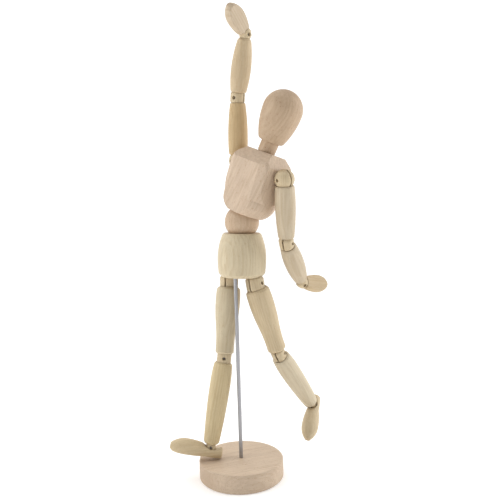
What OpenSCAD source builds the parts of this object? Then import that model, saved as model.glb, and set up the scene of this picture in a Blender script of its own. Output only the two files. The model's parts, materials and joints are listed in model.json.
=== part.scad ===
// Jointed wooden artist mannequin on a round base, posed mid-stride with one arm raised.
// Millimetres, +Z up. The origin is the centre of the base's underside and -Y is the
// side that the base is looked at from. Every limb is drawn hanging down from its upper
// joint, and a joint piece is drawn about the centre of its cross pin.

/* [Base and rod] */
// Diameter of the round base
base_d = 65; // [60:1:72]
// Thickness of the base
base_h = 14; // [12:0.5:18]
// Width of the worn bevel round the base's two edges
base_bevel = 0.7; // [0.3:0.1:1.5]
// Diameter of the steel rod
rod_d = 2.9; // [2.6:0.1:3]

/* [Torso] */
// Height of the pelvis's underside above the table
pelvis_z = 153.9; // [153:0.1:155]
// Height of the pelvis
pelvis_h = 34.4; // [33:0.1:36]
// Greatest radius of the pelvis
pelvis_r = 18.8; // [18.4:0.1:19.2]
// Distance of the rod's hole in front of the pelvis's centre
rod_offset = 10.6; // [10:0.1:11]
// Radius of the waist ball
waist_r = 13.2; // [13:0.1:13.4]
// Height of the chest's top above the waist ball's centre
chest_top = 55.6; // [54:0.1:57]
// Half the chest's width between the arms
chest_x = 21; // [20:0.1:21]
// Half the chest's depth, front to back
chest_y = 15.5; // [14.5:0.1:16]
// Distance from the chest's middle to each shoulder's centre
shoulder_x = 27.5; // [27.4:0.1:28.5]
// Height of the shoulders above the waist ball's centre
shoulder_z = 42.3; // [41.5:0.1:43]
// Radius of the neck
neck_r = 6.8; // [6.5:0.1:7]
// Length of neck in sight between chest and head
neck_gap = 9.4; // [9:0.1:10]
// Length of the head along its axis
head_h = 39.2; // [38:0.1:42]
// Greatest radius of the head
head_r = 15.1; // [14.6:0.1:16]

/* [Limbs] */
// Upper arm, from shoulder centre to elbow centre
upper_arm_l = 48.2; // [46:0.1:52]
// Forearm, from elbow centre to wrist centre
forearm_l = 46.5; // [44:0.1:50]
// Hand, from wrist centre to fingertip
hand_l = 26.5; // [25:0.1:29]
// Thigh, from hip centre to knee centre
thigh_l = 59.3; // [58:0.1:60]
// Shin, from knee centre to ankle centre
shin_l = 69.2; // [66:0.1:69.5]
// Foot, from ankle centre to toe
toe_l = 31; // [29:0.1:33]
// Thickness of the hand
hand_t = 7; // [6:0.1:8]
// Diameter of the steel cross pins
pin_d = 1.5; // [1.3:0.1:1.6]
// Width of the saw slot in each joint piece
slot_w = 1.2; // [1.1:0.1:1.4]
// Gap between a joint piece and the cup that it turns in
cup_gap = 0.22; // [0.15:0.01:0.3]
// Thickness of the wire in the springs and loops
wire_d = 0.5; // [0.4:0.05:0.5]

/* [Pose of the torso and head] */
// Turn of the figure on its rod, towards its own right
figure_turn = 28; // [0:1:40]
// Lean of the pelvis on the rod
pelvis_lean = 2; // [0:0.5:3]
// Turn of the waist ball and all above it, towards the figure's own right
waist_turn = 22; // [0:0.5:30]
// Lean of the chest towards the figure's own left
chest_lean = 16.5; // [0:0.5:20]
// Backward lean of the chest
chest_back = 11.5; // [0:0.5:14]
// Turn of the neck on the chest
neck_turn = 0; // [-20:1:20]
// Backward tilt of the head
head_tilt = -6; // [-8:1:8]
// Sideways tilt of the neck and head
head_lean = 9; // [0:1:10]

/* [Pose of the left arm and leg] */
// Swing of the left arm: 0 hangs down, 180 points up
left_arm_swing = 21.5; // [0:0.5:40]
// Spread of the left arm away from the body
left_arm_spread = 9; // [8.5:0.5:30]
// Turn of the left elbow piece about the upper arm
left_elbow_turn = 20; // [-90:1:90]
// Bend of the left elbow
left_elbow_bend = 31; // [0:1:55]
// Turn of the left wrist about the forearm
left_wrist_turn = -34; // [-90:1:90]
// Bend of the left wrist
left_wrist_bend = 45; // [-50:1:50]
// Twist of the left hand's flat faces about its own length
left_hand_twist = 45; // [-90:5:90]
// Turn of the left hip piece, towards the figure's own right
left_hip_turn = 11; // [0:1:20]
// Spread of the left leg
left_leg_spread = 11.5; // [0:0.5:25]
// Swing of the left leg to the back
left_leg_swing = 15; // [-30:0.5:30]
// Turn of the left knee piece about the thigh
left_knee_turn = 14; // [-60:1:60]
// Bend of the left knee
left_knee_bend = 26.5; // [0:0.5:45]
// Turn of the left ankle about the shin
left_ankle_turn = -4; // [-60:1:60]
// Bend of the left ankle: 0 has the foot square to the shin, more points the toe down
left_ankle_bend = 1; // [-20:1:30]

/* [Pose of the right arm and leg] */
// Swing of the right arm: 0 hangs down, 180 points up
right_arm_swing = -162.5; // [-180:0.5:-120]
// Spread of the right arm away from the body
right_arm_spread = 10; // [9:0.5:30]
// Turn of the right elbow piece about the upper arm
right_elbow_turn = 71; // [-90:1:90]
// Bend of the right elbow
right_elbow_bend = -9; // [-30:0.5:30]
// Turn of the right wrist about the forearm
right_wrist_turn = -75; // [-90:1:90]
// Bend of the right wrist
right_wrist_bend = 47; // [-50:1:50]
// Twist of the right hand's flat faces about its own length
right_hand_twist = 0; // [-90:5:90]
// Turn of the right hip piece, towards the figure's own right
right_hip_turn = -4; // [-10:1:10]
// Spread of the right leg
right_leg_spread = 0; // [-5:0.5:20]
// Swing of the right leg to the back
right_leg_swing = -9; // [-30:0.5:0]
// Turn of the right knee piece about the thigh
right_knee_turn = -66; // [-90:1:0]
// Bend of the right knee
right_knee_bend = -5; // [-8:0.5:30]
// Turn of the right ankle about the shin
right_ankle_turn = 6; // [-30:1:30]
// Bend of the right ankle: 0 has the foot square to the shin, more points the toe down
right_ankle_bend = -2; // [-15:1:15]

/* [Hidden] */
$fn = 64;

beech = [0.87, 0.72, 0.58];
linden = [0.9, 0.8, 0.64];
steel = [0.66, 0.67, 0.69];

left = 1;
right = -1;

// waist ball's centre above the pelvis's underside, and the chest's flat underside above it
waist_z = pelvis_h + 8.6;
chest_bottom = 6.7;
neck_z = chest_top + neck_gap / 2;
hip_x = 11.5;
hip_drop = 4.6;

// each joint piece: radius of its body, radius of its domes, and how far from its
// centre the limbs above and below it end
shoulder_r = 7.4;
shoulder_cut = 4.8;
elbow_r = 5.6;
elbow_dome = 6.3;
elbow_cut = 4;
wrist_r = 4.9;
wrist_cut = 3.2;
hip_r = 7.1;
hip_dome = 8;
hip_cut = 3.9;
knee_r = 5.6;
knee_dome = 6.5;
knee_cut = 3.5;
ankle_r = 3.7;
ankle_dome = 4.3;
ankle_cut = 3;
neck_dome = norm([neck_r - 0.5, neck_gap / 2]);

// springs: coil tube, its distance from the dome, the loop round a pin, the bore it runs in
coil_r = 1.7;
coil_gap = 0.7;
loop_r = pin_d / 2 + wire_d / 2 + 0.12;
loop_side = wire_d / 2 + 0.03;
bore_r = 2.3;
fit = 0.01;
// share of a joint piece's radius that its pin's ends lie below the surface
recess = 0.35;
big = 200;

function pick(side, l, r) = side > 0 ? l : r;

// ---- where each piece stands ----

module in_figure() {
    rotate([0, 0, -figure_turn]) children();
}

module in_pelvis() {
    in_figure() translate([0, rod_offset, pelvis_z]) rotate([0, pelvis_lean, 0]) children();
}

module in_waist() {
    in_pelvis() translate([0, 0, waist_z]) rotate([0, 0, -waist_turn]) children();
}

module in_chest() {
    in_waist() rotate([0, chest_lean, 0]) rotate([-chest_back, 0, 0]) children();
}

module in_neck() {
    in_chest() translate([0, 0, neck_z]) rotate([0, head_lean, neck_turn]) children();
}

module in_head() {
    in_neck() rotate([-head_tilt, 0, 0]) children();
}

module in_shoulder(side) {
    in_chest() translate([side * shoulder_x, 0, shoulder_z])
        rotate([pick(side, left_arm_swing, right_arm_swing), 0, 0]) children();
}

module in_upper_arm(side) {
    in_shoulder(side)
        rotate([0, -side * pick(side, left_arm_spread, right_arm_spread), 0]) children();
}

module in_elbow(side) {
    in_upper_arm(side) translate([0, 0, -upper_arm_l])
        rotate([0, 0, pick(side, left_elbow_turn, right_elbow_turn)]) children();
}

module in_forearm(side) {
    in_elbow(side)
        rotate([pick(side, left_elbow_bend, right_elbow_bend), 0, 0]) children();
}

module in_wrist(side) {
    in_forearm(side) translate([0, 0, -forearm_l])
        rotate([0, 0, pick(side, left_wrist_turn, right_wrist_turn)]) children();
}

module in_hand(side) {
    in_wrist(side)
        rotate([pick(side, left_wrist_bend, right_wrist_bend), 0, 0]) children();
}

module in_hip(side) {
    in_pelvis() translate([side * hip_x, 0, -hip_drop])
        rotate([0, 0, -pick(side, left_hip_turn, right_hip_turn)])
            rotate([0, -side * pick(side, left_leg_spread, right_leg_spread), 0]) children();
}

module in_thigh(side) {
    in_hip(side)
        rotate([pick(side, left_leg_swing, right_leg_swing), 0, 0]) children();
}

module in_knee(side) {
    in_thigh(side) translate([0, 0, -thigh_l])
        rotate([0, 0, pick(side, left_knee_turn, right_knee_turn)]) children();
}

module in_shin(side) {
    in_knee(side)
        rotate([pick(side, left_knee_bend, right_knee_bend), 0, 0]) children();
}

module in_ankle(side) {
    in_shin(side) translate([0, 0, -shin_l])
        rotate([0, 0, pick(side, left_ankle_turn, right_ankle_turn)]) children();
}

module in_foot(side) {
    in_ankle(side)
        rotate([pick(side, left_ankle_bend, right_ankle_bend), 0, 0]) children();
}

// ---- turned shapes ----

// half of a turned outline: a single arc from radius rm at height zm to radius r at height z
module bulge(zm, rm, z, r) {
    h = abs(z - zm);
    d = rm - r;
    arc = (h * h + d * d) / (2 * d);
    intersection() {
        translate([rm - arc, zm]) circle(r = arc, $fn = 720);
        translate([0, min(z, zm)]) square([rm, h]);
    }
}

// half of a turned outline that is hollowed: radius r0 at height z0, narrowest radius
// rm at height zm, down to height z1
module hollow(zm, rm, z0, r0, z1) {
    arc = (pow(z0 - zm, 2) + pow(r0 - rm, 2)) / (2 * (r0 - rm));
    difference() {
        translate([0, z1]) square([r0, z0 - z1]);
        translate([rm + arc, zm]) circle(r = arc, $fn = 720);
    }
}

// takes the corner off a turned outline's end at height z: flat is the radius left flat,
// and way is 1 if the piece lies above z or -1 if it lies below
module eased_corner(z, flat, way) {
    c = flat * 1.05;
    difference() {
        translate([0, way > 0 ? z : z - c]) square([30, c]);
        translate([0, z + way * c]) circle(r = norm([flat, c]));
    }
}

// a limb turned from z0 down to z1, widest at zm and slimmer below hollow_z, with cups
// for the joint pieces at both ends: the radius of each dome, and the lower one's height
module limb(z0, z1, zm, r0, rm, r1, flat0, flat1, cup0, cup1, at1, hollow_z = -99,
        hollow_r = 0) {
    difference() {
        rotate_extrude() difference() {
            union() {
                bulge(zm, rm, z0, r0);
                bulge(zm, rm, hollow_z > z1 ? hollow_z : z1, hollow_z > z1 ? hollow_r : r1);
                if (hollow_z > z1) hollow(z1 + 5, r1, hollow_z, hollow_r, z1);
            }
            eased_corner(z0, flat0, -1);
            eased_corner(z1, flat1, 1);
        }
        sphere(r = cup0 + cup_gap);
        translate([0, 0, at1]) sphere(r = cup1 + cup_gap);
        translate([0, 0, at1]) cylinder(r = bore_r, h = -at1);
    }
}

// ---- joint pieces, pins and springs ----

// saw slot across the pin, which lies along X: open to the front and both ends, with a
// web of wood left behind the pin
module pin_slot() {
    difference() {
        translate([-slot_w / 2, -big / 2, -big / 2]) cube([slot_w, big, big]);
        translate([-slot_w, 2.4, -1.2]) cube([2 * slot_w, big, 2.4]);
    }
}

// cross hole for the pin along X, wider at both ends where the pin sits below the surface
module pin_hole(r) {
    translate([-big / 2, 0, 0]) rotate([0, 90, 0]) cylinder(r = pin_d / 2 + fit, h = big);
    for (end = [0, 180])
        rotate([0, 0, end]) translate([(1 - recess) * r, 0, 0])
            rotate([0, 90, 0]) cylinder(r = pin_d / 2 + 0.6, h = 10);
}

module joint_piece(body_r, dome_r) {
    difference() {
        intersection() {
            sphere(r = dome_r);
            cylinder(r = body_r, h = 3 * dome_r, center = true);
        }
        pin_slot();
        pin_hole(body_r);
    }
}

module pin(r) {
    reach = (1 - recess) * r;
    translate([-reach, 0, 0]) rotate([0, 90, 0]) cylinder(r = pin_d / 2, h = 2 * reach);
}

// a loop round a pin along X, set off to one side of the slot, with its straight shank
// down to the coil
module loop(reach, way) {
    translate([way * loop_side, 0, 0]) {
        rotate([0, 90, 0]) rotate_extrude() translate([loop_r, 0]) circle(d = wire_d);
        translate([0, 0, -reach]) cylinder(d = wire_d - 0.04, h = reach - loop_r);
    }
}

// a close-wound tension spring, drawn as the tube that its coils fill, from the pin at
// the origin down to the pin at z1; the lower pin is turned by turn1
module spring(z1, start0, start1, turn0, turn1) {
    top = -(start0 + coil_gap);
    low = z1 + start1 + coil_gap;
    rotate([0, 0, turn0]) loop(start0 + coil_gap + 0.2, -1);
    translate([0, 0, z1]) rotate([0, 0, turn1]) mirror([0, 0, 1])
        loop(start1 + coil_gap + 0.2, 1);
    difference() {
        translate([0, 0, low]) cylinder(r = coil_r, h = top - low);
        translate([0, 0, low + wire_d]) cylinder(r = coil_r - wire_d, h = top - low - 2 * wire_d);
    }
}

// ---- base, rod and torso ----

module base() {
    color(beech) difference() {
        rotate_extrude() polygon([[0, 0], [base_d / 2 - base_bevel, 0],
            [base_d / 2, base_bevel], [base_d / 2, base_h - base_bevel],
            [base_d / 2 - base_bevel, base_h], [0, base_h]]);
        translate([0, 0, 4]) cylinder(d = rod_d + 2 * fit, h = base_h);
    }
}

module rod() {
    color(steel) translate([0, 0, 4.05]) cylinder(d = rod_d, h = pelvis_z + 14 - 4.05);
}

module pelvis() {
    color(linden) difference() {
        in_pelvis() difference() {
            rotate_extrude() difference() {
                union() {
                    bulge(14.5, pelvis_r, pelvis_h, 14.6);
                    bulge(14.5, pelvis_r, 0.8, 17.6);
                }
                eased_corner(0.8, 15.6, 1);
                eased_corner(pelvis_h, 13.9, -1);
            }
            translate([0, 0, waist_z]) sphere(r = waist_r + cup_gap);
            translate([0, 0, pelvis_h - 16]) cylinder(r = coil_r + fit, h = big);
            for (side = [left, right]) {
                translate([side * hip_x, 0, -hip_drop]) sphere(r = hip_dome + cup_gap);
                translate([side * hip_x, 0, -1]) cylinder(r = coil_r + fit, h = 17);
                translate([side * hip_x, 0, 0]) cylinder(r1 = 4.2, r2 = coil_r, h = 7);
            }
        }
        in_figure() translate([0, 0, pelvis_z - 10])
            cylinder(d = rod_d + 0.1, h = 10 + 14.05);
    }
}

// a bore through a ball of radius r, flared at both ends for a spring that bends in it
module flared_bore(r) {
    for (end = [0, 180])
        rotate([end, 0, 0]) cylinder(r1 = bore_r, r2 = bore_r + 0.25 * r, h = r + 1);
}

// the ball turns half as far as the chest leans
module waist() {
    color(beech) in_waist() rotate([-chest_back / 2, chest_lean / 2, 0]) difference() {
        sphere(r = waist_r);
        flared_bore(waist_r);
    }
}

// cuts the chest by a plane: out is how far from the axis at height z, facing az, and
// lean is how much the plane opens outwards with height
module chest_cut(az, out, z, lean) {
    rotate([0, 0, az]) translate([out, 0, z]) rotate([0, lean, 0])
        translate([0, -big / 2, -big / 2]) cube([big, big, big]);
}

module chest() {
    color(beech) in_chest() difference() {
        rotate_extrude() difference() {
            union() {
                bulge(38.5, 25.4, chest_top, 20);
                bulge(38.5, 25.4, 19.5, 21.2);
                intersection() {
                    translate([21.2 - 15.4, 19.6]) circle(r = 15.4, $fn = 200);
                    translate([0, chest_bottom]) square([21.2, 19.6 - chest_bottom]);
                }
                translate([0, chest_bottom]) square([8, 20]);
            }
            eased_corner(chest_top, 17.5, -1);
        }
        // front, back, sides and the flats between them
        for (az = [-90, 90]) chest_cut(az, chest_y, 36, 4);
        for (az = [0, 180]) chest_cut(az, chest_x, 38, 0);
        for (az = [-66, 66, -114, 114]) chest_cut(az, 20, 36, 4);
        // sloped collar in front and behind, and the tops of the shoulders
        for (az = [-90, 90]) chest_cut(az, 11.6, 51.2, -45);
        for (az = [0, 180]) chest_cut(az, 17.4, 51.4, -36);
        // waist cup, neck cup, shoulder cups and the bores for the springs
        sphere(r = waist_r + cup_gap);
        translate([0, 0, neck_z]) sphere(r = neck_dome + cup_gap);
        cylinder(r = bore_r, h = neck_z);
        for (side = [left, right])
            translate([side * shoulder_x, 0, shoulder_z]) sphere(r = shoulder_r + cup_gap);
        translate([-chest_x - 1, 0, shoulder_z]) rotate([0, 90, 0])
            cylinder(r = bore_r + 0.3, h = 2 * chest_x + 2);
    }
}

module neck() {
    color(beech) in_neck() rotate([-head_tilt / 2, 0, 0]) difference() {
        intersection() {
            sphere(r = neck_dome);
            cylinder(r = neck_r, h = big, center = true);
        }
        flared_bore(neck_dome);
    }
}

module head() {
    color(beech) in_head() translate([0, 0, neck_gap / 2]) difference() {
        rotate_extrude() difference() {
            union() {
                bulge(head_h - head_r, head_r, 0, 9.8);
                intersection() {
                    translate([0, head_h - head_r]) circle(r = head_r, $fn = 200);
                    translate([0, head_h - head_r]) square([head_r, head_r]);
                }
            }
            eased_corner(0, 9.4, 1);
        }
        translate([0, 0, -neck_gap / 2]) sphere(r = neck_dome + cup_gap);
        cylinder(r = coil_r + fit, h = 18);
    }
}

// ---- springs of the torso ----

// straight wire between two points, with a rounded end at the second
module wire(p, q) {
    v = q - p;
    translate(p) rotate([0, acos(v[2] / norm(v)), atan2(v[1], v[0])])
        cylinder(d = wire_d, h = norm(v));
    translate(q) sphere(d = wire_d + 0.06);
}

// a tube of close-wound coils from height z0 up to z1, closed at both ends
module coils(z0, z1, r) {
    difference() {
        translate([0, 0, z0]) cylinder(r = r, h = z1 - z0);
        translate([0, 0, z0 + wire_d]) cylinder(r = r - wire_d, h = z1 - z0 - 2 * wire_d);
    }
}

// a loop round the spring that crosses the chest from shoulder to shoulder
module crossing_loop(way, reach) {
    translate([way * (wire_d / 2 + 0.05), 0, shoulder_z]) {
        rotate([0, 90, 0]) rotate_extrude() translate([coil_r + wire_d / 2 + 0.08, 0])
            circle(d = wire_d);
        mirror([0, 0, way < 0 ? 1 : 0]) translate([0, 0, coil_r + wire_d / 2])
            cylinder(d = wire_d - 0.04, h = reach - coil_r - wire_d / 2);
    }
}

// screwed into the pelvis, through the waist ball, hooked over the shoulder spring
module spine_spring() {
    color(steel) union() {
        in_waist() coils(pelvis_h - 15.8 - waist_z, 0, coil_r);
        in_waist() sphere(r = coil_r + 0.05);
        in_chest() coils(0, shoulder_z - 3, coil_r);
        in_chest() crossing_loop(-1, 3.2);
    }
}

// hooked over the shoulder spring, through the neck, screwed into the head
module neck_spring() {
    color(steel) union() {
        in_chest() crossing_loop(1, 3.2);
        in_chest() coils(shoulder_z + 3, neck_z, coil_r);
        in_neck() sphere(r = coil_r + 0.05);
        in_head() coils(0, neck_gap / 2 + 17.9, coil_r);
    }
}

module shoulder_spring() {
    out = shoulder_x - shoulder_r - coil_gap;
    color(steel) union() {
        in_chest() translate([0, 0, shoulder_z]) rotate([0, 90, 0])
            translate([0, 0, -out]) coils(0, 2 * out, coil_r);
        for (side = [left, right])
            in_shoulder(side) rotate([0, side * 90, 0]) rotate([0, 0, 90])
                loop(shoulder_r + coil_gap + 0.2, 1);
    }
}

// where a hip spring's wire leaves the slot of the hip piece, in the pelvis's frame
function hip_exit(side, reach) = let (
        spread = -side * pick(side, left_leg_spread, right_leg_spread),
        turn = -pick(side, left_hip_turn, right_hip_turn),
        x = loop_side * cos(spread) + reach * sin(spread),
        z = reach * cos(spread) - loop_side * sin(spread))
    [side * hip_x + x * cos(turn), x * sin(turn), z - hip_drop];

module hip_springs() {
    color(steel) {
        for (side = [left, right]) {
            in_pelvis() translate([side * hip_x, 0, 0]) coils(7.2, 15.8, coil_r);
            in_pelvis() wire([side * hip_x, 0, 7.4], hip_exit(side, hip_dome + 0.15));
            in_hip(side) mirror([0, 0, 1]) loop(hip_dome + 0.15, 1);
        }
    }
}

// ---- arms ----

// the slot lies across the pin, open below, outside and towards the chest
module shoulder_ball(side) {
    color(linden) in_shoulder(side) rotate([0, 0, pick(side, 0, 180)]) difference() {
        sphere(r = shoulder_r);
        difference() {
            translate([-big / 2, -slot_w / 2, -big / 2]) cube([big, slot_w, big]);
            translate([-8, -slot_w, 2]) cube([9.2, 2 * slot_w, 8]);
        }
        rotate([0, 0, 90]) pin_hole(shoulder_r);
    }
}

module shoulder_pin(side) {
    color(steel) in_shoulder(side) rotate([0, 0, 90]) pin(shoulder_r);
}

module upper_arm(side) {
    color(linden) in_upper_arm(side) limb(-shoulder_cut, elbow_cut - upper_arm_l, -17.5,
        7.1, 7.7, 5.9, 6.4, 5.45, shoulder_r, elbow_dome, -upper_arm_l);
}

module upper_arm_spring(side) {
    color(steel) in_upper_arm(side) spring(-upper_arm_l, shoulder_r, elbow_dome, 90,
        pick(side, left_elbow_turn, right_elbow_turn));
}

module elbow_piece(side) {
    color(linden) in_elbow(side)
        rotate([pick(side, left_elbow_bend, right_elbow_bend) / 2, 0, 0])
            joint_piece(elbow_r, elbow_dome);
}

module elbow_pin(side) {
    color(steel) in_elbow(side) pin(elbow_r);
}

module forearm(side) {
    color(linden) in_forearm(side) limb(-elbow_cut, wrist_cut - forearm_l, -21,
        6, 7.6, 4.9, 5.45, 4.1, elbow_dome, wrist_r, -forearm_l);
}

module forearm_spring(side) {
    color(steel) in_forearm(side) spring(-forearm_l, elbow_dome, wrist_r, 0,
        pick(side, left_wrist_turn, right_wrist_turn));
}

module wrist_ball(side) {
    color(linden) in_wrist(side)
        rotate([pick(side, left_wrist_bend, right_wrist_bend) / 2, 0, 0])
            joint_piece(wrist_r - 0.3, wrist_r);
}

module wrist_pin(side) {
    color(steel) in_wrist(side) pin(wrist_r - 0.3);
}

// a turned spindle with both faces sawn flat
module hand(side) {
    color(linden) in_hand(side) difference() {
        intersection() {
            rotate_extrude() difference() {
                union() {
                    bulge(-15.5, 7.1, -3, 4.9);
                    bulge(-15.5, 7.1, -hand_l, 1.7);
                }
                eased_corner(-3, 4.5, -1);
            }
            rotate([0, 0, pick(side, left_hand_twist, right_hand_twist)])
                cube([hand_t, 40, 80], center = true);
        }
        sphere(r = wrist_r + cup_gap);
        translate([-loop_side, 0, -12.1]) cylinder(d = wire_d, h = 12);
    }
}

module hand_loop(side) {
    color(steel) in_hand(side) loop(12, -1);
}

// ---- legs ----

module hip_piece(side) {
    color(linden) in_hip(side) joint_piece(hip_r, hip_dome);
}

module hip_pin(side) {
    color(steel) in_hip(side) pin(hip_r);
}

module thigh(side) {
    color(linden) in_thigh(side) limb(-hip_cut, knee_cut - thigh_l, -14,
        8.9, 9.6, 7.15, 7.7, 6.1, hip_dome, knee_dome, -thigh_l, 18 - thigh_l + 8, 8.35);
}

module thigh_spring(side) {
    color(steel) in_thigh(side) spring(-thigh_l, hip_dome, knee_dome, 0,
        pick(side, left_knee_turn, right_knee_turn));
}

module knee_piece(side) {
    color(linden) in_knee(side)
        rotate([pick(side, left_knee_bend, right_knee_bend) / 2, 0, 0])
            joint_piece(knee_r, knee_dome);
}

module knee_pin(side) {
    color(steel) in_knee(side) pin(knee_r);
}

module shin(side) {
    color(linden) in_shin(side) limb(-knee_cut, ankle_cut - shin_l, -19,
        6.9, 8, 5.9, 6, 4.9, knee_dome, ankle_dome, -shin_l);
}

module shin_spring(side) {
    color(steel) in_shin(side) spring(-shin_l, knee_dome, ankle_dome, 0,
        pick(side, left_ankle_turn, right_ankle_turn));
}

module ankle_piece(side) {
    color(linden) in_ankle(side)
        rotate([pick(side, left_ankle_bend, right_ankle_bend) / 2, 0, 0])
            joint_piece(ankle_r, ankle_dome);
}

module ankle_pin(side) {
    color(steel) in_ankle(side) pin(ankle_r);
}

// a turned pear lying on its side, sawn flat below and hollowed over the instep
module foot(side) {
    color(linden) in_foot(side) difference() {
        translate([0, 0, -3.3]) rotate([90, 0, 0]) rotate_extrude() difference() {
            union() {
                bulge(19, 6.9, toe_l, 2.2);
                bulge(19, 6.9, 3, 5);
                bulge(3, 5.05, -9.5, 4.2);
            }
            eased_corner(-9.5, 3.6, 1);
        }
        translate([-20, -60, -27]) cube([40, 100, 20]);
        translate([-20, 2, 13]) rotate([0, 90, 0]) cylinder(r = 14, h = 40);
        sphere(r = ankle_dome + cup_gap);
        rotate([-65, 0, 0]) translate([-loop_side, 0, -11.1]) cylinder(d = wire_d, h = 11);
    }
}

module foot_loop(side) {
    color(steel) in_foot(side) rotate([-65, 0, 0]) loop(11, -1);
}

base();
rod();
pelvis();
waist();
chest();
neck();
head();
spine_spring();
neck_spring();
shoulder_spring();
hip_springs();
shoulder_ball(left);  // shoulder_ball_l
shoulder_pin(left);  // shoulder_pin_l
upper_arm(left);  // upper_arm_l
upper_arm_spring(left);  // upper_arm_spring_l
elbow_piece(left);  // elbow_piece_l
elbow_pin(left);  // elbow_pin_l
forearm(left);  // forearm_l
forearm_spring(left);  // forearm_spring_l
wrist_ball(left);  // wrist_ball_l
wrist_pin(left);  // wrist_pin_l
hand(left);  // hand_l
hand_loop(left);  // hand_loop_l
shoulder_ball(right);  // shoulder_ball_r
shoulder_pin(right);  // shoulder_pin_r
upper_arm(right);  // upper_arm_r
upper_arm_spring(right);  // upper_arm_spring_r
elbow_piece(right);  // elbow_piece_r
elbow_pin(right);  // elbow_pin_r
forearm(right);  // forearm_r
forearm_spring(right);  // forearm_spring_r
wrist_ball(right);  // wrist_ball_r
wrist_pin(right);  // wrist_pin_r
hand(right);  // hand_r
hand_loop(right);  // hand_loop_r
hip_piece(left);  // hip_piece_l
hip_pin(left);  // hip_pin_l
thigh(left);  // thigh_l
thigh_spring(left);  // thigh_spring_l
knee_piece(left);  // knee_piece_l
knee_pin(left);  // knee_pin_l
shin(left);  // shin_l
shin_spring(left);  // shin_spring_l
ankle_piece(left);  // ankle_piece_l
ankle_pin(left);  // ankle_pin_l
foot(left);  // foot_l
foot_loop(left);  // foot_loop_l
hip_piece(right);  // hip_piece_r
hip_pin(right);  // hip_pin_r
thigh(right);  // thigh_r
thigh_spring(right);  // thigh_spring_r
knee_piece(right);  // knee_piece_r
knee_pin(right);  // knee_pin_r
shin(right);  // shin_r
shin_spring(right);  // shin_spring_r
ankle_piece(right);  // ankle_piece_r
ankle_pin(right);  // ankle_pin_r
foot(right);  // foot_r
foot_loop(right);  // foot_loop_r
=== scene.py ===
"""Looks for the jointed wooden artist mannequin: bare pale wood, drawn steel, a white studio."""

import json
import math

import bpy
from mathutils import Matrix, Vector


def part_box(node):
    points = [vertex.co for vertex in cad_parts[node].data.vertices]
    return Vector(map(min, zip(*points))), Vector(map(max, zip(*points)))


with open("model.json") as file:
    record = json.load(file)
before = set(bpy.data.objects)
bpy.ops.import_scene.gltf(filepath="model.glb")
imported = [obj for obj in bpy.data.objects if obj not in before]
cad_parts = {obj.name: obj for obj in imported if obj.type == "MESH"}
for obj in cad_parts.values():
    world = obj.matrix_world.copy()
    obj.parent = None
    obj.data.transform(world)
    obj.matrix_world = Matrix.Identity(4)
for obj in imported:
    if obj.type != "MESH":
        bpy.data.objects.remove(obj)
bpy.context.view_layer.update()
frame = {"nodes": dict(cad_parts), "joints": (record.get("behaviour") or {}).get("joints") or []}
NODES = frame["nodes"]
JOINT = {j["name"]: j for j in frame["joints"]}
MM = 0.001
COIL_PITCH = 0.5  # millimetres, the springs' wire lies turn on turn


def joint_pos(name):
    return Vector(JOINT[name]["pos_m"])


def joint_axis(name):
    return Vector(JOINT[name]["axis"])


def middle(node):
    low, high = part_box(node)
    return (low + high) / 2


# ---- node helpers ----


class Shader:
    """A node tree that is built by short calls; a socket, number or colour can be an input."""

    def __init__(self, name):
        self.material = bpy.data.materials.new(name)
        self.material.use_nodes = True
        self.tree = self.material.node_tree
        self.tree.nodes.clear()
        self.out = self.tree.nodes.new("ShaderNodeOutputMaterial")

    def add(self, kind, inputs=None, **settings):
        node = self.tree.nodes.new(kind)
        for key, value in settings.items():
            setattr(node, key, value)
        for key, value in (inputs or {}).items():
            self.put(node.inputs[key], value)
        return node

    def put(self, socket, value):
        if isinstance(value, bpy.types.NodeSocket):
            self.tree.links.new(value, socket)
        else:
            socket.default_value = value

    def math(self, operation, a, b=0.0, clamp=False):
        node = self.add("ShaderNodeMath", {0: a, 1: b}, operation=operation, use_clamp=clamp)
        return node.outputs[0]

    def vector(self, operation, a, b):
        node = self.add("ShaderNodeVectorMath", {0: a, 1: b}, operation=operation)
        return node.outputs["Value" if operation in ("DOT_PRODUCT", "LENGTH") else "Vector"]

    def noise(self, at, scale, detail=3.0, roughness=0.55):
        node = self.add(
            "ShaderNodeTexNoise",
            {"Vector": at, "Scale": scale, "Detail": detail, "Roughness": roughness},
        )
        return node.outputs["Fac"]

    def spread(self, value, low, high, to_low=0.0, to_high=1.0):
        node = self.add(
            "ShaderNodeMapRange",
            {"Value": value, "From Min": low, "From Max": high, "To Min": to_low, "To Max": to_high},
            interpolation_type="SMOOTHSTEP",
        )
        return node.outputs["Result"]

    def mix(self, share, a, b, blend="MIX"):
        node = self.add("ShaderNodeMix", data_type="RGBA", blend_type=blend)
        self.put(node.inputs["Factor"], share)
        self.put(node.inputs["A"], a)
        self.put(node.inputs["B"], b)
        return node.outputs["Result"]

    def local(self, origin, axis):
        """Object coordinates in millimetres, from origin, with Z along axis."""
        turn = Vector((0, 0, 1)).rotation_difference(axis.normalized()).to_euler()
        node = self.add("ShaderNodeMapping", vector_type="TEXTURE")
        coordinates = self.add("ShaderNodeTexCoord")
        self.put(node.inputs["Vector"], coordinates.outputs["Object"])
        node.inputs["Location"].default_value = origin
        node.inputs["Rotation"].default_value = turn
        node.inputs["Scale"].default_value = (MM, MM, MM)
        return node.outputs["Vector"], coordinates.outputs["Normal"]


def rgba(colour):
    return (*colour, 1.0)


# ---- wood ----

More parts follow.
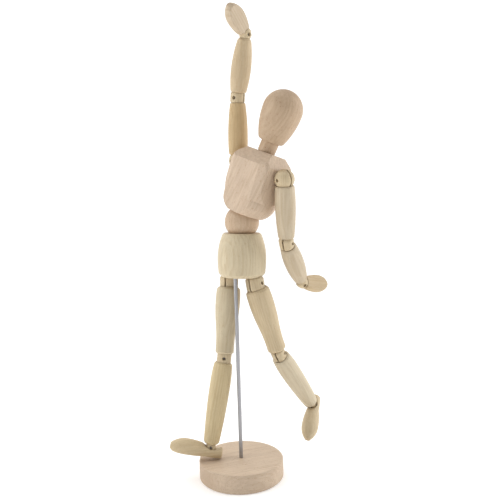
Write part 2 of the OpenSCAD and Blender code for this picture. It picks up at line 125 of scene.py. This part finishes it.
# early wood, late wood, end grain and pore colours, how strongly the rings and flecks show
LINDEN = dict(
    early=(0.600, 0.515, 0.360), late=(0.500, 0.390, 0.240), end=(0.43, 0.32, 0.195),
    pore=(0.40, 0.25, 0.13), rings=0.55, flecks=0.35, spacing=1.9,
)
BEECH = dict(
    early=(0.575, 0.465, 0.345), late=(0.465, 0.345, 0.235), end=(0.42, 0.32, 0.22),
    pore=(0.36, 0.19, 0.11), rings=0.45, flecks=0.75, spacing=2.3,
)


def wood(name, kind, origin, axis, seed, tone=(1.0, 1.0, 1.0), heart=(24.0, 13.0)):
    """Bare turned wood with its grain along axis. heart is the tree's middle, seen from the piece's."""
    s = Shader(name)
    at, normal = s.local(origin, axis)
    shift = (seed * 7.31 % 50, seed * 3.77 % 50, seed * 11.13 % 90)
    at = s.vector("ADD", at, shift)
    stretched = s.vector("MULTIPLY", at, (1.0, 1.0, 0.13))
    fibre_at = s.vector("MULTIPLY", at, (1.0, 1.0, 0.045))

    # growth rings: distance from the tree's heart, bent by slow noise
    parts = s.add("ShaderNodeSeparateXYZ", {0: at}).outputs
    dx = s.math("SUBTRACT", parts["X"], shift[0] + heart[0])
    dy = s.math("SUBTRACT", parts["Y"], shift[1] + heart[1])
    far = s.math("SQRT", s.math("ADD", s.math("MULTIPLY", dx, dx), s.math("MULTIPLY", dy, dy)))
    bend = s.noise(stretched, 0.16, 2.0)
    drift = s.math("MULTIPLY", parts["Z"], 0.018)
    far = s.math("ADD", s.math("ADD", far, drift), s.math("MULTIPLY", bend, 3.4))
    ring = s.math("FRACT", s.math("DIVIDE", far, kind["spacing"]))
    ring = s.math("MULTIPLY", s.spread(ring, 0.15, 0.92), s.spread(ring, 1.0, 0.93))
    uneven = s.spread(s.noise(stretched, 0.07, 1.0), 0.3, 0.7, 0.35, 1.0)
    ring = s.math("MULTIPLY", s.math("MULTIPLY", ring, uneven), kind["rings"])

    # fine fibres and the short dark flecks of rays and pores
    fibre = s.noise(fibre_at, 2.6, 4.0, 0.6)
    silk = s.noise(fibre_at, 0.55, 2.0)
    fleck_at = s.vector("MULTIPLY", at, (1.0, 1.0, 0.28))
    fleck = s.spread(s.noise(fleck_at, 2.1, 1.0, 0.4), 0.655, 0.72, 0.0, kind["flecks"])

    colour = s.mix(ring, rgba(kind["early"]), rgba(kind["late"]))
    colour = s.mix(s.spread(fibre, 0.38, 0.68, 0.0, 0.38), colour, rgba(kind["late"]))
    colour = s.mix(fleck, colour, rgba(kind["pore"]))
    paler = tuple(min(1.0, c * 1.13) for c in kind["early"])
    colour = s.mix(s.spread(silk, 0.4, 0.7, 0.0, 0.5), colour, rgba(paler))

    # cross-cut faces drink in more and look darker, with rings and pores as dots
    along = s.math("ABSOLUTE", s.vector("DOT_PRODUCT", normal, tuple(axis.normalized())))
    cross = s.spread(along, 0.72, 0.97)
    dots = s.spread(s.noise(at, 3.2, 2.0, 0.5), 0.5, 0.66, 0.0, 0.5)
    end = s.mix(dots, rgba(kind["end"]), rgba(kind["pore"]))
    colour = s.mix(s.math("MULTIPLY", cross, 0.62), colour, end)

    # handling: greyer patches, and edges rubbed paler
    patch = s.spread(s.noise(at, 0.06, 3.0), 0.42, 0.72, 0.0, 0.16)
    colour = s.mix(patch, colour, rgba(tuple(c * 0.8 for c in kind["late"])))
    geometry = s.add("ShaderNodeNewGeometry")
    soft = s.add("ShaderNodeBevel", {"Radius": 0.0006}, samples=4)
    edge = s.vector("DOT_PRODUCT", soft.outputs["Normal"], geometry.outputs["Normal"])
    edge = s.spread(edge, 0.995, 0.86)
    worn = s.math("MULTIPLY", edge, s.spread(s.noise(at, 0.8, 2.0), 0.3, 0.65, 0.15, 0.6))
    colour = s.mix(worn, colour, rgba(paler))
    # tone multiplies the whole colour; for most pieces it is the plank's own tone, for the head and the
    # right upper arm it is also painted shade
    colour = s.mix(1.0, colour, rgba(tone), "MULTIPLY")

    height = s.math("ADD", s.math("MULTIPLY", fibre, 0.6), s.math("MULTIPLY", fleck, -0.7))
    height = s.math("ADD", height, s.math("MULTIPLY", ring, 0.25))
    bump = s.add(
        "ShaderNodeBump",
        {"Strength": 0.35, "Distance": 0.00012, "Height": height, "Normal": soft.outputs["Normal"]},
    )
    rough = s.spread(fibre, 0.3, 0.7, 0.5, 0.64)
    rough = s.math("SUBTRACT", rough, s.math("MULTIPLY", edge, 0.06))
    shader = s.add(
        "ShaderNodeBsdfPrincipled",
        {"Base Color": colour, "Roughness": rough, "Normal": bump.outputs["Normal"]},
    )
    shader.inputs["Specular IOR Level"].default_value = 0.32
    s.put(s.out.inputs["Surface"], shader.outputs["BSDF"])
    return s.material


# ---- steel ----


def steel(name, origin, axis, pitch=0.0, colour=(0.37, 0.37, 0.385)):
    """Drawn steel wire or rod, with drawing lines along axis. pitch is a coil's, in millimetres."""
    s = Shader(name)
    at, _ = s.local(origin, axis)
    drawn = s.noise(s.vector("MULTIPLY", at, (1.0, 1.0, 0.02)), 4.5, 3.0)
    spots = s.noise(at, 0.9, 4.0, 0.65)
    tone = s.mix(s.spread(drawn, 0.35, 0.7, 0.0, 0.45), rgba(colour), (0.33, 0.33, 0.35, 1.0))
    tone = s.mix(s.spread(spots, 0.6, 0.75, 0.0, 0.4), tone, (0.27, 0.25, 0.235, 1.0))
    rough = s.spread(drawn, 0.3, 0.7, 0.3, 0.46)
    height = s.math("MULTIPLY", drawn, 0.3)
    if pitch:
        parts = s.add("ShaderNodeSeparateXYZ", {0: at}).outputs
        wave = s.math("ABSOLUTE", s.math("SINE", s.math("MULTIPLY", parts["Z"], math.pi / pitch)))
        height = s.math("ADD", height, s.math("MULTIPLY", wave, 2.0))
        # painted shade: the grooves between the coil's turns are darkened towards near black
        tone = s.mix(s.spread(wave, 0.35, 0.0, 0.0, 0.8), tone, (0.1, 0.1, 0.1, 1.0))
    bump = s.add("ShaderNodeBump", {"Strength": 0.4, "Distance": 0.0001, "Height": height})
    shader = s.add(
        "ShaderNodeBsdfPrincipled",
        {"Base Color": tone, "Roughness": rough, "Normal": bump.outputs["Normal"]},
    )
    shader.inputs["Metallic"].default_value = 1.0
    s.put(s.out.inputs["Surface"], shader.outputs["BSDF"])
    return s.material


def dress(node, material):
    slots = NODES[node].data.materials
    slots.clear()
    slots.append(material)


# ---- the torso and base ----

spine = joint_axis("neck_turn")
hip_line = joint_axis("waist_turn")
board = Vector((0.94, 0.34, 0.0))
dress("base", wood("base_wood", BEECH, Vector((0, 0, 0)), board, 1, (1.02, 1.0, 1.0), (9.0, -38.0)))
dress("rod", steel("rod_steel", Vector((0, 0, 0)), Vector((0, 0, 1))))
dress(
    "pelvis",
    wood("pelvis_wood", LINDEN, middle("pelvis"), hip_line, 2, (1.04, 1.04, 1.04), (31.0, 22.0)),
)
dress("waist", wood("waist_wood", BEECH, middle("waist"), hip_line, 3, (0.97, 0.9, 0.84), (18.0, 26.0)))
dress("chest", wood("chest_wood", BEECH, middle("chest"), spine, 4, (1.03, 1.0, 1.0), (36.0, 17.0)))
dress("neck", wood("neck_wood", BEECH, middle("neck"), spine, 5, (0.94, 0.86, 0.78), (20.0, 8.0)))
# painted shade: the head's tone is darkened to stand in for the shade on its front
dress("head", wood("head_wood", BEECH, middle("head"), spine, 6, (0.87, 0.80, 0.73), (27.0, 11.0)))
dress("spine_spring", steel("spine_spring_steel", joint_pos("chest_lean"), spine, COIL_PITCH))
dress("neck_spring", steel("neck_spring_steel", joint_pos("head_nod"), spine, COIL_PITCH))
across = joint_axis("left_shoulder_swing")
dress("shoulder_spring", steel("shoulder_spring_steel", middle("shoulder_spring"), across, COIL_PITCH))
dress("hip_springs", steel("hip_spring_steel", middle("hip_springs"), hip_line, COIL_PITCH))

# ---- arms and legs ----

# each blank was cut from another plank: some are paler, some more tanned; the right upper arm's darker
# tint is partly its plank's orange tone and partly painted shade
PLAIN = (1.0, 1.0, 1.0)
JOINT_PIECE_TINT = (0.97, 0.93, 0.88)
PIN_STEEL = (0.12, 0.11, 0.105)
TINTS_AND_PAINTED_SHADE = {
    # painted shade: the right upper arm is darkened for the shade it sits in, on top of its more orange
    # plank
    "upper_arm_r": (0.90, 0.78, 0.62),
    "forearm_r": (0.95, 0.88, 0.82),
    "shin_r": (0.98, 0.93, 0.80),
    "shin_l": (0.99, 1.0, 1.04),
    "thigh_l": (0.98, 0.93, 0.87),
    "upper_arm_l": (0.95, 0.93, 0.96),
    "forearm_l": (0.91, 0.89, 0.92),
    "hand_r": (0.93, 0.89, 0.93),
    "hand_l": (0.93, 0.85, 0.77),
    "foot_l": (0.99, 0.95, 0.90),
    "foot_r": (0.98, 0.92, 0.84),
}

seed = 10
for side, q in (("left", "l"), ("right", "r")):
    points = {
        "shoulder": joint_pos(side + "_arm_spread"),
        "elbow": joint_pos(side + "_elbow_bend"),
        "wrist": joint_pos(side + "_wrist_bend"),
        "hip": joint_pos(side + "_leg_swing"),
        "knee": joint_pos(side + "_knee_bend"),
        "ankle": joint_pos(side + "_ankle_bend"),
    }
    for limb, a, b in (
        ("upper_arm", "shoulder", "elbow"),
        ("forearm", "elbow", "wrist"),
        ("thigh", "hip", "knee"),
        ("shin", "knee", "ankle"),
    ):
        seed += 1
        along = points[b] - points[a]
        node = limb + "_" + q
        tone = TINTS_AND_PAINTED_SHADE.get(node, PLAIN)
        heart = (22.0 + 9.0 * math.sin(seed), 15.0 + 8.0 * math.cos(seed * 1.7))
        dress(node, wood(node + "_wood", LINDEN, points[a], along, seed, tone, heart))
        spring = limb + "_spring_" + q
        dress(spring, steel(spring + "_steel", points[a], along, COIL_PITCH))
    for end, a in (("hand", "wrist"), ("foot", "ankle")):
        seed += 1
        node = end + "_" + q
        along = middle(node) - points[a]
        tone = TINTS_AND_PAINTED_SHADE[node]
        dress(node, wood(node + "_wood", LINDEN, points[a], along, seed, tone, (14.0, 19.0)))
        dress(end + "_loop_" + q, steel(node + "_loop_steel", points[a], along))
    for piece, pin, a, turn in (
        ("shoulder_ball", "shoulder_pin", "shoulder", None),
        ("elbow_piece", "elbow_pin", "elbow", "_elbow_turn"),
        ("wrist_ball", "wrist_pin", "wrist", "_wrist_turn"),
        ("hip_piece", "hip_pin", "hip", None),
        ("knee_piece", "knee_pin", "knee", "_knee_turn"),
        ("ankle_piece", "ankle_pin", "ankle", "_ankle_turn"),
    ):
        seed += 1
        along = joint_axis(side + turn) if turn else points["elbow"] - points["shoulder"]
        if piece == "hip_piece":
            along = points["knee"] - points["hip"]
        node = piece + "_" + q
        tone = JOINT_PIECE_TINT
        dress(node, wood(node + "_wood", LINDEN, points[a], along, seed, tone, (11.0, 7.0)))
        node = pin + "_" + q
        dress(node, steel(node + "_steel", points[a], along, colour=PIN_STEEL))

# ---- studio ----


FLOOR_REACH = 6.0
FLOOR_Z = -0.0002
FLOOR_WHITE = (0.93, 0.93, 0.93)
FLOOR_GLOW = 0.22

corners = [
    (x * FLOOR_REACH, y * FLOOR_REACH, FLOOR_Z) for x, y in ((-1, -1), (1, -1), (1, 1), (-1, 1))
]
mesh = bpy.data.meshes.new("floor")
mesh.from_pydata(corners, [], [(0, 1, 2, 3)])
floor = bpy.data.objects.new("floor", mesh)
bpy.context.scene.collection.objects.link(floor)
s = Shader("floor_paint")
at, _ = s.local(Vector((0, 0, 0)), Vector((0, 0, 1)))
cloud = s.spread(s.noise(at, 0.01, 2.0), 0.3, 0.7)
tone = s.mix(cloud, rgba(FLOOR_WHITE), rgba(tuple(c * 0.985 for c in FLOOR_WHITE)))
shader = s.add("ShaderNodeBsdfPrincipled", {"Base Color": tone})
shader.inputs["Emission Color"].default_value = (1.0, 1.0, 1.0, 1.0)
shader.inputs["Emission Strength"].default_value = FLOOR_GLOW
shader.inputs["Roughness"].default_value = 0.7
shader.inputs["Specular IOR Level"].default_value = 0.1
s.put(s.out.inputs["Surface"], shader.outputs["BSDF"])
mesh.materials.append(s.material)

# a white tent that lights less from the side the camera stands on
TENT_FRONT = 0.24
TENT_BACK = 1.25
world = bpy.data.worlds.new("studio")
bpy.context.scene.world = world
world.use_nodes = True
sky = world.node_tree
direction = sky.nodes.new("ShaderNodeTexCoord")
split = sky.nodes.new("ShaderNodeSeparateXYZ")
fade = sky.nodes.new("ShaderNodeMapRange")
fade.interpolation_type = "SMOOTHSTEP"
fade.inputs["From Min"].default_value = -0.75
fade.inputs["From Max"].default_value = 0.15
fade.inputs["To Min"].default_value = TENT_FRONT
fade.inputs["To Max"].default_value = TENT_BACK
sky.links.new(direction.outputs["Generated"], split.inputs[0])
sky.links.new(split.outputs["Y"], fade.inputs["Value"])
# what is seen of the tent itself is evenly white
seen = sky.nodes.new("ShaderNodeLightPath")
white = sky.nodes.new("ShaderNodeMath")
white.operation = "MAXIMUM"
sky.links.new(fade.outputs["Result"], white.inputs[0])
sky.links.new(seen.outputs["Is Camera Ray"], white.inputs[1])
sky.links.new(white.outputs[0], sky.nodes["Background"].inputs["Strength"])
sky.nodes["Background"].inputs["Color"].default_value = (1.0, 1.0, 1.0, 1.0)


def softbox(name, place, target, width, height, power):
    light = bpy.data.lights.new(name, "AREA")
    light.shape = "RECTANGLE"
    light.size = width
    light.size_y = height
    light.energy = power
    piece = bpy.data.objects.new(name, light)
    piece.location = place
    look = Vector(target) - Vector(place)
    piece.rotation_euler = look.to_track_quat("-Z", "Y").to_euler()
    bpy.context.scene.collection.objects.link(piece)


figure = (0.0, 0.0, 0.2)
softbox("softbox_left", (-1.0, -0.25, 0.5), figure, 0.7, 1.1, 3.6)
softbox("softbox_right", (1.0, 0.1, 0.45), figure, 0.6, 1.0, 4.0)
softbox("softbox_top", (-0.1, -0.1, 1.3), figure, 1.0, 1.0, 2.0)

# ---- camera: a little above the waist, tipped slightly down and slightly rolled ----

place = Vector((0.00837, -0.44557, 0.21008))
pitch, yaw, roll = 0.0762, -0.0012, 0.0313
ahead = Vector((math.sin(yaw) * math.cos(pitch), math.cos(yaw) * math.cos(pitch), -math.sin(pitch)))
right = Vector((math.cos(yaw), -math.sin(yaw), 0.0))
up = right.cross(ahead)
tilted_right = right * math.cos(roll) - up * math.sin(roll)
tilted_up = right * math.sin(roll) + up * math.cos(roll)
lens = bpy.data.cameras.new("camera")
lens.sensor_width = 36.0
lens.lens = 42.63
lens.shift_x = 0.0085
lens.shift_y = 0.001
lens.clip_start = 0.01
lens.clip_end = 50.0
camera = bpy.data.objects.new("camera", lens)
turn = Matrix((tilted_right, tilted_up, -ahead)).transposed()
camera.matrix_world = Matrix.Translation(place) @ turn.to_4x4()
bpy.context.scene.collection.objects.link(camera)
bpy.context.scene.camera = camera
bpy.context.scene.view_settings.view_transform = "Standard"
